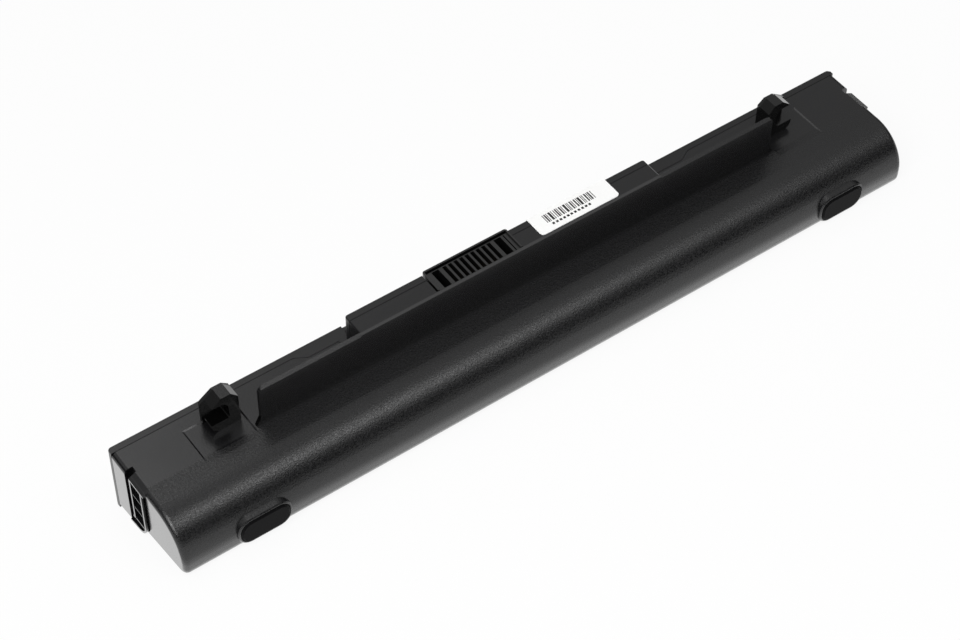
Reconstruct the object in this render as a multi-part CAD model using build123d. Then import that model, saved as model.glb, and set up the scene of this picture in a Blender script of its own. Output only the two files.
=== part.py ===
"""Clip-on battery pack of a notebook computer: a long D-shaped bar with four cells in a row.

The pack is drawn on its seat, the flat face that meets the computer, because the fin, the
connector block and the two hooks stand square on it.  In this drawing frame X runs along the
bar, -Y points to the rounded nose, +Z out of the seat, and the back wall's lower edge is at
y = 0, z = 0.  The base slopes up towards the nose, so at the end every piece is turned about
X by the base's angle, and the bar lies flat on its base with the origin in the base's middle.
"""
import math
import os

from build123d import *

# Housing, mm
END_INSET = 0.9             # the end faces lie this far inside the flanges
END_ROOM = 1.85             # free length between the end cells and the end walls
BACK_HEIGHT = 25.8          # base to seat at the back wall
DEPTH = 39.3                # back wall to nose
BASE_ANGLE = 10.0           # slope between base and seat, degrees
NOSE_RADIUS = 13.3
HEEL_RADIUS = 4.0           # where the nose turns under into the base
END_ROUND = 1.8
BACK_ROUND = 0.5            # back cover's upper edge
COVER_CORNER = 1.2          # its upright corners
WALL = 1.5
FIT_GAP = 0.1               # between moulded pieces that fit together
SEAM_GAP = 0.18             # open joint line between cover and shell

# Back cover
COVER_DEPTH = 2.6           # how far the cover reaches round the top, base and ends
COVER_TONGUE = 1.6          # its lip inside the front shell
TONGUE_WALL = 0.9
STEP_DEPTH = 4.9            # the joint line steps forward to this depth beside the block
STEP_OUTER_X = 74.0
STEP_INNER_X = 70.0

# Fin and connector block
FIN_HALF_LENGTH = 94.4
FIN_BEHIND_CELLS = 3.0      # the fin's front face stands this far behind the cells' axis
FIN_THICKNESS = 1.2
FIN_HEIGHT = 15.6           # above the seat
FIN_CORNER = 2.0
FIN_BEVEL = 0.55            # fall of the fin's top edge towards the front
FIN_FOOT = 1.6              # small gusset at each end of the fin
FIN_FOOT_TOE = 0.2          # upright toe under the gusset's slope
BLOCK_LEFT = -59.6
BLOCK_RIGHT = 50.0
BLOCK_DEPTH = 9.1           # fin's front face to the block's back face
BLOCK_LEDGE = 2.6           # the cover's share of the block's top
BLOCK_BEVEL = 0.4           # on the edges of the block's top
BLOCK_CORNER = 0.9          # its upright back corners
KEY_LEFT = -55.8            # keying pocket behind the block
KEY_WIDTH = 5.8
KEY_DEPTH = 5.0
KEY_LIP = 1.4               # how much lower the back wall is at the pocket

# Connector
PITCH = 2.0
CONTACTS = 9
SLOT_WIDTH = 1.25
CONTACT_CENTRE = -17.0
CONNECTOR_CENTRE = -16.7
CONNECTOR_LENGTH = 30.4
CONNECTOR_BULGE = 0.85      # its back rim stands out of the block's back face
CONNECTOR_HEIGHT = 10.0
CONNECTOR_LEFT_GAP = 0.6    # open gap beside its left end
CONNECTOR_PROUD = 0.2       # the rim stands this far above the block
CONNECTOR_CORNER = 0.8
RIM = 0.6
RIM_GAP = 0.6
CORE_BACK_WALL = 0.25
CORE_SINK = 0.4             # the ribs' tops lie this far below the block's top
SLOT_DEPTH = 8.0
END_SLOT_WIDTH = 2.5
END_SLOT_OFFSET = 11.2      # from the contacts' middle to the wide end slots
LATCH_SLOT = 0.4
LATCH_OFFSET = 1.2          # from the rim
LATCH_DEPTH = 4.0
LEAF = 0.25                 # thickness of a contact leaf
LEAF_GAP = 0.35
LEAF_SINK = 4.5             # leaves start this far below the slot's mouth
LEAF_BACK_GAP = 0.6
LEAF_BASE = 1.2             # height of the bridge that joins the two leaves
TAIL_WIDTH = 0.6
TAIL_LENGTH = 4.0
TAIL_CLEARANCE = 0.05

# Hooks, mirrored at both ends, measured from mid-length and from the seat
HOOK_INNER = 98.1
HOOK_TIP = 106.8
JAW_TIP = 107.7
HOOK_TOP = 12.5
HOOK_FLAT_IN = 100.4
HOOK_FLAT_OUT = 103.7
LIP_HEIGHT = 9.85
MOUTH_TOP = 9.7
JAW_TOP = 3.3
SPINE = 3.4
HOOK_FRONT_TO_FIN = 5.2     # hook's front face to the fin's front face
HOOK_THICKNESS = 4.83
HOOK_STEPS = ((3.3, 0.2), (4.7, 0.45))  # above these heights its front is set back this far
WEB = 1.2                   # plate that closes the hook's back
WEB_REACH = 1.3             # past the hook's tip
WEB_DROP = 0.6              # its top below the hook's top
HOOK_CHAMFER_DROP = 2.5
MOUTH_ROUND = 2.8
THROAT_ROUND = 0.8
JAW_ROUND = 2.9
POCKET_DEPTH = 0.25         # shallow well round each hook
POCKET_SLOPE = 0.5          # run of its sloping edge
POCKET_FRONT_SLOPE = 3.0    # run towards the nose, where it fades out
POCKET_INNER = 97.0
POCKET_OUTER = 114.0
POCKET_LENGTH = 10.7        # from just behind the fin's front line towards the back

# End guide bosses
FLANGE_DEPTH = 9.7          # the flanges reach this far forward
GUIDE_BACK = 11.9
GUIDE_FRONT = 18.6
GUIDE_MOAT = 1.2            # clear width in front of the guide
GUIDE_CORNER = 5.4          # round lower front corner
MOAT_FLOOR = 2.8            # depth of the well round the guide, from the flange
MOAT_BACKING = 1.0
GUIDE_WALL = 0.7
GUIDE_TOP = 1.9
GUIDE_SLOPE_RUN = 2.4       # its top slopes outwards by this run and fall
GUIDE_SLOPE_FALL = 1.3
GUIDE_RIB = 0.4
GUIDE_RIBS = 3
GUIDE_RIB_SINK = 0.1
GUIDE_GAP = 3.4             # height of the gap low in its back wall
GUIDE_TOE = 0.7             # the wall over the gap turns out this far

# Rubber feet on the nose
FOOT_X = 107.8
FOOT_HEIGHT = 13.65         # middle of the foot above the back wall's lower edge
FOOT_LENGTH = 16.2
FOOT_WIDTH = 8.7
FOOT_CORNER = 3.6
FOOT_RIM = 0.85
FOOT_BOSS_PROUD = 0.8
FOOT_BOSS_BEVEL = 0.35
FOOT_POCKET = 1.0
FOOT_PROUD = 0.5            # of the boss's rim
FOOT_GAP = 0.2
FOOT_EDGE = 0.6

# Cells and what joins them
CELL_COUNT = 4
CELL_DIAMETER = 18.3
CELL_LENGTH = 65.0
CELL_SPACING = 0.5
CELLS_TO_NOSE = 18.3        # the cells' axis behind the nose
CELL_CLEARANCE = 0.1
CRIMP_FROM_END = 4.0        # crimp groove near the button
CRIMP_WIDTH = 1.6
CRIMP_DEPTH = 0.6
BUTTON_RADIUS = 3.2
BUTTON_HEIGHT = 1.4
TAB_WIDTH = 6.0
TAB_THICKNESS = 0.25
TAB_RUN = 9.0
RING_THICKNESS = 0.2
RING_OUTER = 16.0
RING_INNER = 9.4
RING_SIDES = 16
CRADLE_RIB = 1.2
CRADLE_CLEARANCE = 0.2
TAPE_WIDTH = 6.0
TAPE_LENGTH = 40.0
FOAM = 1.2
FOAM_GAP = 1.2              # behind it, to the end guide's well
FOAM_REACH = 8.0            # its front, from the cells' axis
FOAM_HEIGHT = 10.0

# Protection board
BOARD_THICKNESS = 1.0
BOARD_STANDOFF = 0.6
STANDOFF = 3.0              # width of the standoffs
STANDOFF_INSET = 3.5        # their middles from the board's edges
BOARD_END_ROOM = 2.8        # from each end of the board to the end of the block
BOARD_BOTTOM = 23.3
BOARD_TOP = 39.3
BOARD_WINDOW_GAP = 0.6
WIRE_DIAMETER = 1.5
WIRE_SIDES = 6
CHARGE_SWITCH_X = -37.0     # places along the board, from its middle
SHUNT_X = -36.2
THERMISTOR_X = -15.2
GAUGE_X = 18.8
FUSE_X = 34.8
DISCHARGE_SWITCH_X = 42.8
CAPACITORS_X = (8.8, 13.3, 26.8, 30.8)

# Label
LABEL_LEFT = 5.7
LABEL_RIGHT = 35.0
LABEL_FRONT = 16.8
LABEL_DROP = 8.0            # how far it wraps down the block's back
LABEL_THICKNESS = 0.15
LABEL_CORNER = 1.2

# Places worked out from the sizes above
CELL_STEP = CELL_LENGTH + CELL_SPACING
STACK_HALF = (CELL_COUNT * CELL_STEP - CELL_SPACING) / 2
END_X = STACK_HALF + END_ROOM + WALL
HALF = END_X + END_INSET
SEAT = BACK_HEIGHT
TOP = SEAT + FIN_HEIGHT
SLOPE = math.radians(BASE_ANGLE)
INSIDE = SEAT - WALL                        # underside of the seat's wall
CELL_RADIUS = CELL_DIAMETER / 2
CELL_Z = INSIDE - CELL_CLEARANCE - CELL_RADIUS
CELL_DEPTH = DEPTH - CELLS_TO_NOSE
FIN_FRONT = CELL_DEPTH - FIN_BEHIND_CELLS   # depths count from the back wall
FIN_BACK = FIN_FRONT - FIN_THICKNESS
BLOCK_BACK = FIN_FRONT - BLOCK_DEPTH
BLOCK_JOINT = BLOCK_BACK + BLOCK_LEDGE
HOOK_FRONT = FIN_FRONT - HOOK_FRONT_TO_FIN
HOOK_BACK = HOOK_FRONT - HOOK_THICKNESS
POCKET_FRONT = FIN_FRONT + 0.2
POCKET_BACK = POCKET_FRONT - POCKET_LENGTH
BOARD_FRONT = FIN_BACK - BOARD_STANDOFF
BOARD_BACK = BOARD_FRONT - BOARD_THICKNESS
TAIL_BACK = BOARD_BACK - 0.4
BLOCK_MID = (BLOCK_LEFT + BLOCK_RIGHT) / 2
BOARD_LENGTH = BLOCK_RIGHT - BLOCK_LEFT - 2 * BOARD_END_ROOM
CONNECTOR_BACK = BLOCK_BACK - CONNECTOR_BULGE
CONNECTOR_FRONT = FIN_BACK - FIT_GAP
SLOT_BACK = CONNECTOR_BACK + RIM + RIM_GAP + CORE_BACK_WALL
CONNECTOR_LEFT = CONNECTOR_CENTRE - CONNECTOR_LENGTH / 2
CONNECTOR_RIGHT = CONNECTOR_CENTRE + CONNECTOR_LENGTH / 2
CONNECTOR_TOP = TOP + CONNECTOR_PROUD
CONNECTOR_BOTTOM = CONNECTOR_TOP - CONNECTOR_HEIGHT
FOOT_FACE = DEPTH + FOOT_BOSS_PROUD
ORIGIN_BACK = (DEPTH / math.cos(SLOPE)) / 2


def base_height(y, inset=0.0):
    """Height of the sloping base, or of a face inset from it, at y."""
    return (inset - y * math.sin(SLOPE)) / math.cos(SLOPE)


def profile(inset, back):
    """The bar's D-shaped section, inset by a wall, from its nose to y = back."""
    nose_y, nose_z = NOSE_RADIUS - DEPTH, SEAT - NOSE_RADIUS
    radius = NOSE_RADIUS - inset
    front, top = inset - DEPTH, SEAT - inset
    middle = (nose_y - radius * math.cos(math.pi / 4), nose_z + radius * math.sin(math.pi / 4))
    heel = (front, base_height(front, inset))
    outline = Line((back, top), (nose_y, top))
    outline += ThreePointArc((nose_y, top), middle, (front, nose_z))
    outline += Polyline((front, nose_z), heel, (back, base_height(back, inset)), (back, top))
    section = make_face(outline)
    corner = section.vertices().sort_by_distance((*heel, 0))[0]
    return fillet(corner, max(HEEL_RADIUS - inset, 1.0))


def bar(section, left, right):
    """A section in the Y-Z plane, drawn out from left to right."""
    return extrude(Plane.YZ.offset(left) * section, amount=right - left)


def block(x0, x1, y0, y1, z0, z1):
    """A box between two corners."""
    size = (abs(x1 - x0), abs(y1 - y0), abs(z1 - z0))
    return Pos((x0 + x1) / 2, (y0 + y1) / 2, (z0 + z1) / 2) * Box(*size)


def side_plate(points, front, back):
    """A plate with its outline in X-Z, from depth back to depth front."""
    face = make_face(Polyline(*points, close=True))
    return extrude(Plane.XZ.offset(back) * face, amount=front - back)


def both_ends(shape):
    """A piece at the right end and its mirror image at the left end."""
    return [shape, mirror(shape, about=Plane.YZ)]


def seam_plan(gap):
    """The cover's share of the seat in plan, shrunk by a gap along its joint line."""
    edge, step, deep = gap - COVER_DEPTH, gap - STEP_DEPTH, gap - BLOCK_JOINT
    right = [(BLOCK_RIGHT - gap, deep), (BLOCK_RIGHT - gap, step), (STEP_INNER_X, step)]
    right += [(STEP_OUTER_X, edge), (HALF, edge), (HALF, 0)]
    left = [(-HALF, 0), (-HALF, edge), (-STEP_OUTER_X, edge), (-STEP_INNER_X, step)]
    left += [(BLOCK_LEFT + gap, step), (BLOCK_LEFT + gap, deep)]
    return make_face(Polyline(*(left + right), close=True))


def foot_outline(margin):
    """The rubber foot's outline, or one drawn outside it by a margin."""
    length, width = FOOT_LENGTH + 2 * margin, FOOT_WIDTH + 2 * margin
    return RectangleRounded(length, width, FOOT_CORNER + margin)


def on_nose(section, x, depth_from, depth_to):
    """A section drawn in X-Z at a foot's middle, extruded towards the nose."""
    plane = Plane(origin=(x, -depth_from, FOOT_HEIGHT), x_dir=(1, 0, 0), z_dir=(0, -1, 0))
    return extrude(plane * section, amount=depth_to - depth_from)


def outer_bar():
    """Outside of the front shell: the bar, its end flanges and the bosses of the feet."""
    body = bar(profile(0, -COVER_DEPTH), -END_X, END_X)
    rims = [e for e in body.edges() if abs(abs(e.center().X) - END_X) < 1e-3]
    rims = [e for e in rims if e.center().Y < -COVER_DEPTH - 1e-3]
    body = fillet(rims, END_ROUND)
    flange = bar(profile(0, -COVER_DEPTH), END_X - 2 * END_ROUND, HALF)
    flange &= block(0, HALF + 1, -COVER_DEPTH, -FLANGE_DEPTH, -1, SEAT + 1)
    ends = [e for e in flange.edges() if abs(e.center().X - HALF) < 1e-3]
    ends = [e for e in ends if -FLANGE_DEPTH + 1e-3 < e.center().Y < -COVER_DEPTH - 1e-3]
    flange = fillet(ends, END_ROUND)
    boss = on_nose(foot_outline(FOOT_RIM), FOOT_X, DEPTH - NOSE_RADIUS, FOOT_FACE)
    boss = chamfer(boss.faces().sort_by(Axis.Y)[0].edges(), FOOT_BOSS_BEVEL)
    for piece in both_ends(flange) + both_ends(boss):
        body += piece
    return body


def guide_section(back, front, inset, top, corner):
    """Section from the sloping base up, with a round lower front corner."""
    low_back, low_front = base_height(-back, inset), base_height(-front, inset)
    outline = Polyline((-back, top), (-back, low_back), (-front, low_front), (-front, top), close=True)
    section = make_face(outline)
    return fillet(section.vertices().sort_by_distance((-front, low_front, 0))[0], corner)


def guide_well():
    """Well in the end wall round the guide boss, open at the top."""
    front = GUIDE_FRONT + GUIDE_MOAT
    section = guide_section(FLANGE_DEPTH, front, GUIDE_WALL, SEAT + 1, GUIDE_CORNER + GUIDE_MOAT)
    return bar(section, HALF - MOAT_FLOOR, HALF + 1)


def guide_boss():
    """Guide cored from outside, with thin cross ribs and a gap low in its back wall."""
    boss = bar(guide_section(GUIDE_BACK, GUIDE_FRONT, 0, SEAT, GUIDE_CORNER), HALF - MOAT_FLOOR, HALF)
    back, front, roof = GUIDE_BACK + GUIDE_WALL, GUIDE_FRONT - GUIDE_WALL, SEAT - GUIDE_TOP
    # Its top closes the well in front, and a strip of base joins it to the flange behind
    boss += block(HALF - MOAT_FLOOR, HALF, -front, -GUIDE_FRONT - GUIDE_MOAT, roof, SEAT)
    floor, joined = base_height(-back, GUIDE_WALL), GUIDE_WALL - FLANGE_DEPTH
    strip = [(joined, base_height(joined)), (-back, base_height(-back)), (-back, floor)]
    strip += [(joined, base_height(joined, GUIDE_WALL))]
    boss += bar(make_face(Polyline(*strip, close=True)), HALF - MOAT_FLOOR, HALF)
    core = guide_section(back, front, GUIDE_WALL, roof, GUIDE_CORNER - GUIDE_WALL)
    boss -= bar(core, HALF - MOAT_FLOOR, HALF + 1)
    slope = [(HALF - GUIDE_SLOPE_RUN, SEAT), (HALF, SEAT - GUIDE_SLOPE_FALL), (HALF, SEAT)]
    boss -= side_plate(slope, GUIDE_FRONT + GUIDE_MOAT, GUIDE_BACK)
    gap_top = floor + GUIDE_GAP
    step = (roof - gap_top) / GUIDE_RIBS
    for number in range(GUIDE_RIBS):
        z = gap_top + number * step
        rib = block(HALF - MOAT_FLOOR, HALF - GUIDE_RIB_SINK, -back, -front, z, z + GUIDE_RIB)
        boss += rib
    boss -= block(HALF - MOAT_FLOOR, HALF + 1, -GUIDE_BACK + 1, -back, floor, gap_top)
    toe = block(HALF - MOAT_FLOOR, HALF, GUIDE_TOE - GUIDE_BACK, -back, gap_top, gap_top + GUIDE_RIB)
    return boss + toe


def hook():
    """C-shaped hook that opens towards the right end, closed behind by a thin web."""
    foot = SEAT - POCKET_DEPTH
    chamfer_low = SEAT + HOOK_TOP - HOOK_CHAMFER_DROP
    outline = [
        (HOOK_INNER, foot), (HOOK_INNER, chamfer_low), (HOOK_FLAT_IN, SEAT + HOOK_TOP),
        (HOOK_FLAT_OUT, SEAT + HOOK_TOP), (HOOK_TIP, SEAT + LIP_HEIGHT),
        (HOOK_TIP - 0.3, SEAT + MOUTH_TOP), (HOOK_INNER + SPINE, SEAT + MOUTH_TOP),
        (HOOK_INNER + SPINE, SEAT + JAW_TOP), (JAW_TIP, SEAT + JAW_TOP), (JAW_TIP, foot),
    ]
    body = side_plate(outline, HOOK_FRONT, HOOK_BACK)
    along_y = [e for e in body.edges() if abs(e.center().Y + (HOOK_FRONT + HOOK_BACK) / 2) < 1e-3]

    def edge_at(x, z):
        return min(along_y, key=lambda e: math.hypot(e.center().X - x, e.center().Z - z))

    mouth = edge_at(HOOK_INNER + SPINE, SEAT + MOUTH_TOP)
    throat = edge_at(HOOK_INNER + SPINE, SEAT + JAW_TOP)
    jaw_heel = edge_at(JAW_TIP, foot)
    body = fillet([mouth], MOUTH_ROUND)
    for edge, radius in ((throat, THROAT_ROUND), (jaw_heel, JAW_ROUND)):
        same = min(body.edges(), key=lambda e: (e.center() - edge.center()).length)
        body = fillet([same], radius)
    web_top, web_end = SEAT + HOOK_TOP - WEB_DROP, HOOK_TIP + WEB_REACH
    web_outline = [
        (HOOK_INNER, foot), (HOOK_INNER, chamfer_low), (HOOK_FLAT_IN, web_top),
        (HOOK_FLAT_OUT, web_top), (web_end, SEAT + LIP_HEIGHT - 1), (web_end, foot),
    ]
    for height, setback in HOOK_STEPS:
        front = -HOOK_FRONT + setback
        body -= block(HOOK_INNER - 1, HOOK_TIP + 1, front, front - 1, SEAT + height, TOP)
    return body + side_plate(web_outline, HOOK_BACK, HOOK_BACK - WEB)


def hook_well():
    """Shallow well round the hook's foot; its edges slope, and in front it fades out."""
    width, depth = POCKET_OUTER - POCKET_INNER, POCKET_FRONT - POCKET_BACK
    middle_x, middle_y = (POCKET_OUTER + POCKET_INNER) / 2, -(POCKET_FRONT + POCKET_BACK) / 2
    floor = Plane(origin=(middle_x, middle_y, SEAT - POCKET_DEPTH))
    over = 0.01
    mouth = floor.offset(POCKET_DEPTH + over) * Pos(0, (POCKET_SLOPE - POCKET_FRONT_SLOPE) / 2)
    wide = Rectangle(width + 2 * POCKET_SLOPE, depth + POCKET_SLOPE + POCKET_FRONT_SLOPE)
    return loft([floor * Rectangle(width, depth), mouth * wide])


def block_bevels():
    """Wedges taken off both ends of the connector block's top."""
    wedges = []
    for end, side in ((BLOCK_LEFT, 1), (BLOCK_RIGHT, -1)):
        outside, over = end - 0.1 * side, TOP + 0.1
        corner = [(outside, over), (end + side * BLOCK_BEVEL, over), (outside, TOP - BLOCK_BEVEL)]
        wedges.append(side_plate(corner, FIN_BACK, 0))
    return wedges


def fin():
    """Thin wall along the seat, with rounded top corners and a bevelled top edge."""
    half = FIN_HALF_LENGTH
    wall = block(-half, half, -FIN_BACK, -FIN_FRONT, INSIDE, TOP)
    corners = [e for e in wall.edges() if abs(abs(e.center().X) - half) < 1e-3]
    corners = [e for e in corners if e.center().Z > TOP - 1e-3]
    wall = fillet(corners, FIN_CORNER)
    slope = [(-FIN_BACK, TOP), (-FIN_FRONT, TOP - FIN_BEVEL), (-FIN_FRONT, TOP + 1), (-FIN_BACK, TOP + 1)]
    wall -= bar(make_face(Polyline(*slope, close=True)), -half - 1, half + 1)
    foot = [(half - 1, INSIDE), (half - 1, SEAT + 2 * FIN_FOOT), (half, SEAT + 2 * FIN_FOOT)]
    foot += [(half + FIN_FOOT, SEAT + FIN_FOOT_TOE), (half + FIN_FOOT, INSIDE)]
    for gusset in both_ends(side_plate(foot, FIN_FRONT, FIN_BACK)):
        wall += gusset
    return wall


def make_front_shell():
    shell = outer_bar()
    shell -= bar(profile(WALL, 0), -(END_X - WALL), END_X - WALL)
    well_back, well_front = FLANGE_DEPTH - WALL, GUIDE_FRONT + GUIDE_MOAT + WALL
    backing_x = HALF - MOAT_FLOOR - MOAT_BACKING
    backing = block(backing_x, END_X - WALL / 2, -well_back, -well_front, 0, SEAT)
    backing &= bar(profile(WALL / 2, 0), 0, HALF)
    for piece in both_ends(backing):
        shell += piece
    for piece in both_ends(guide_well()):
        shell -= piece
    for piece in both_ends(guide_boss()):
        shell += piece
    for piece in both_ends(hook_well()):
        shell -= piece
    for piece in both_ends(hook()):
        shell += piece
    # Room inside the connector block, under its own top and end walls
    shell += block(BLOCK_LEFT, BLOCK_RIGHT, -BLOCK_JOINT, -FIN_FRONT, SEAT - WALL, TOP)
    shell -= block(BLOCK_LEFT + WALL, BLOCK_RIGHT - WALL, 0, -FIN_BACK, INSIDE - 1, TOP - WALL)
    shell += fin()
    cover_zone = extrude(Pos(0, 0, INSIDE - 1) * seam_plan(0), amount=FIN_HEIGHT + WALL + 2)
    shell -= cover_zone
    left, right = CONNECTOR_LEFT - CONNECTOR_LEFT_GAP, CONNECTOR_RIGHT + FIT_GAP
    shell -= block(left, right, 0, -CONNECTOR_FRONT - FIT_GAP, TOP - WALL - 1, TOP + 1)
    for wedge in block_bevels():
        shell -= wedge
    # Ribs that cradle the cells from the nose, one in the middle of each cell
    cradle = profile(WALL, -CELL_DEPTH - TAPE_WIDTH / 2 - CRADLE_CLEARANCE)
    cradle -= Pos(-CELL_DEPTH, CELL_Z) * Circle(CELL_RADIUS + CRADLE_CLEARANCE)
    for number in range(CELL_COUNT):
        x = cell_middle(number)
        shell += bar(cradle, x - CRADLE_RIB / 2, x + CRADLE_RIB / 2)
    # Standoffs that hold the board off the fin's wall, near its corners
    half, reach = STANDOFF / 2, BOARD_LENGTH / 2 - STANDOFF_INSET
    for x in (BLOCK_MID - reach, BLOCK_MID + reach):
        for z in (BOARD_BOTTOM + STANDOFF_INSET, BOARD_TOP - STANDOFF_INSET):
            shell += block(x - half, x + half, -FIN_BACK, -BOARD_FRONT, z - half, z + half)
    for piece in both_ends(on_nose(foot_outline(FOOT_GAP), FOOT_X, FOOT_FACE - FOOT_POCKET, FOOT_FACE + 1)):
        shell -= piece
    return shell


def make_back_cover():
    """Shallow tray that closes the bar's back, with the block's back wall moulded on it."""
    body = bar(profile(0, 0), -HALF, HALF) & block(-HALF, HALF, 0, SEAM_GAP - COVER_DEPTH, -1, SEAT + 1)
    uprights = [e for e in body.edges() if e.center().Y > -1e-3 and abs(abs(e.center().X) - HALF) < 1e-3]
    body = fillet(uprights, COVER_CORNER)
    joint_edge = SEAM_GAP - COVER_DEPTH
    crest = [e for e in body.edges() if e.center().Z > SEAT - 1e-3 and e.center().Y > joint_edge + 1e-3]
    body = fillet(crest, BACK_ROUND)
    outer, inner = WALL + FIT_GAP, WALL + FIT_GAP + TONGUE_WALL
    tongue = bar(profile(outer, -WALL / 2), outer - END_X, END_X - outer)
    body += tongue & block(-HALF, HALF, 0, -COVER_DEPTH - COVER_TONGUE, 0, SEAT)
    body -= bar(profile(inner, -WALL), inner - END_X, END_X - inner)
    step_x = STEP_OUTER_X + 1
    body -= block(-step_x, step_x, joint_edge, -COVER_DEPTH - 5, INSIDE - 3, SEAT)
    ledge = extrude(Pos(0, 0, INSIDE) * seam_plan(SEAM_GAP), amount=WALL)
    body += ledge & block(-HALF, HALF, -1, -BLOCK_BACK - WALL, 0, TOP)
    # Back, top strip and end walls of the connector block
    left, right = BLOCK_LEFT, BLOCK_RIGHT
    wall = block(left, right, -BLOCK_BACK, -BLOCK_BACK - WALL, INSIDE, TOP)
    wall += block(left, right, -BLOCK_BACK, SEAM_GAP - BLOCK_JOINT, TOP - WALL, TOP)
    wall += block(left, left + WALL, -BLOCK_BACK, SEAM_GAP - BLOCK_JOINT, INSIDE, TOP)
    wall += block(right - WALL, right, -BLOCK_BACK, SEAM_GAP - BLOCK_JOINT, INSIDE, TOP)
    back_edges = [e for e in wall.edges() if abs(e.center().Y + BLOCK_BACK) < 1e-3]
    ends = [e for e in back_edges if min(abs(e.center().X - left), abs(e.center().X - right)) < 1e-3]
    wall = fillet(ends, BLOCK_CORNER)
    back_edges = [e for e in wall.edges() if abs(e.center().Y + BLOCK_BACK) < 1e-3]
    wall = fillet([e for e in back_edges if e.center().Z > TOP - 1e-3], BLOCK_BEVEL)
    for wedge in block_bevels():
        wall -= wedge
    body += wall
    body -= block(CONNECTOR_LEFT - CONNECTOR_LEFT_GAP, CONNECTOR_RIGHT + FIT_GAP, 0, -BLOCK_JOINT - 1,
                  CONNECTOR_BOTTOM - FIT_GAP, TOP + 1)
    # Keying pocket behind the block: a closed well with a lowered back wall
    key_right = KEY_LEFT + KEY_WIDTH
    body += block(KEY_LEFT - WALL / 2, key_right + WALL / 2, -WALL / 2, -BLOCK_BACK - WALL / 2,
                  SEAT - KEY_DEPTH - WALL / 2, INSIDE + WALL / 2)
    body -= block(KEY_LEFT, key_right, -WALL, -BLOCK_BACK, SEAT - KEY_DEPTH, SEAT + 1)
    body -= block(KEY_LEFT, key_right, 1, -BLOCK_BACK, SEAT - KEY_LIP, SEAT + 1)
    return body


def make_connector():
    """Receptacle with a rim, nine contact slots between ten ribs and a wide slot at each end."""
    left, right, back, front = CONNECTOR_LEFT, CONNECTOR_RIGHT, -CONNECTOR_BACK, -CONNECTOR_FRONT
    body = block(left, right, back, front, CONNECTOR_BOTTOM, CONNECTOR_TOP)
    uprights = [e for e in body.edges().filter_by(Axis.Z) if abs(e.center().Y - back) < 1e-3]
    body = fillet(uprights, CONNECTOR_CORNER)
    body -= block(left + RIM, right - RIM, back - RIM, front, TOP - CORE_SINK, CONNECTOR_TOP + 1)
    slot_bottom = TOP - SLOT_DEPTH
    body -= block(left + RIM, right - RIM, back - RIM, back - RIM - RIM_GAP, slot_bottom, TOP)
    half, hole = SLOT_WIDTH / 2, TAIL_WIDTH / 2 + TAIL_CLEARANCE
    for number in range(CONTACTS):
        x = contact_x(number)
        body -= block(x - half, x + half, -SLOT_BACK, front, slot_bottom, TOP)
        body -= block(x - hole, x + hole, TAIL_CLEARANCE - TAIL_BACK, -BOARD_BACK - TAIL_CLEARANCE,
                      CONNECTOR_BOTTOM - 1, slot_bottom + 1)
    half = END_SLOT_WIDTH / 2
    for x in (CONTACT_CENTRE - END_SLOT_OFFSET, CONTACT_CENTRE + END_SLOT_OFFSET):
        body -= block(x - half, x + half, -SLOT_BACK, front, slot_bottom, TOP)
    latch = right - RIM - LATCH_OFFSET
    body -= block(latch - LATCH_SLOT, latch, -SLOT_BACK, front, TOP - LATCH_DEPTH, TOP)
    return body


def contact_x(number):
    return CONTACT_CENTRE + (number - (CONTACTS - 1) / 2) * PITCH


def make_terminal(number):
    """Forked spring contact: two leaves on a base, and a tail soldered to the board."""
    x = contact_x(number)
    low, high = TOP - SLOT_DEPTH, TOP - LEAF_SINK
    width = 2 * LEAF + LEAF_GAP
    back = -SLOT_BACK - LEAF_BACK_GAP
    piece = block(x - width / 2, x + width / 2, back, -BOARD_BACK, low, low + LEAF_BASE)
    for side in (-1, 1):
        inner = x + side * LEAF_GAP / 2
        piece += block(inner, inner + side * LEAF, back, -BOARD_BACK, low, high)
    tail_low = CONNECTOR_BOTTOM - TAIL_LENGTH
    piece += block(x - TAIL_WIDTH / 2, x + TAIL_WIDTH / 2, -TAIL_BACK, -BOARD_BACK, tail_low, low + 1)
    return piece


def make_foot():
    pad = on_nose(foot_outline(0), FOOT_X, FOOT_FACE - FOOT_POCKET, FOOT_FACE + FOOT_PROUD)
    return chamfer(pad.faces().sort_by(Axis.Y)[0].edges(), FOOT_EDGE)


def make_label():
    """Paper label on top of the block, folded down over its back edge."""
    t = LABEL_THICKNESS
    sheet = block(LABEL_LEFT, LABEL_RIGHT, -BLOCK_BACK + t, -LABEL_FRONT, TOP, TOP + t)
    corners = [e for e in sheet.edges().filter_by(Axis.Z) if e.center().Y < -LABEL_FRONT + 1e-3]
    sheet = fillet(corners, LABEL_CORNER)
    return sheet + block(LABEL_LEFT, LABEL_RIGHT, -BLOCK_BACK, -BLOCK_BACK + t, TOP - LABEL_DROP, TOP + t)


def cell_middle(number):
    return -STACK_HALF + CELL_LENGTH / 2 + number * CELL_STEP


def make_cell(number):
    """Round cell in its sleeve, with the crimp groove and the raised positive button."""
    r, half = CELL_RADIUS, CELL_LENGTH / 2
    crimp, rim = half - CRIMP_FROM_END, half - BUTTON_HEIGHT
    points = [(0, -half), (r, -half), (r, crimp - CRIMP_WIDTH / 2), (r - CRIMP_DEPTH, crimp)]
    points += [(r, crimp + CRIMP_WIDTH / 2), (r, rim)]
    points += [(BUTTON_RADIUS, rim), (BUTTON_RADIUS, half), (0, half)]
    can = revolve(Plane.XZ * make_face(Polyline(*points, close=True)), Axis.Z)
    return Pos(cell_middle(number), -CELL_DEPTH, CELL_Z) * (Rot(0, 90, 0) * can)


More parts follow.
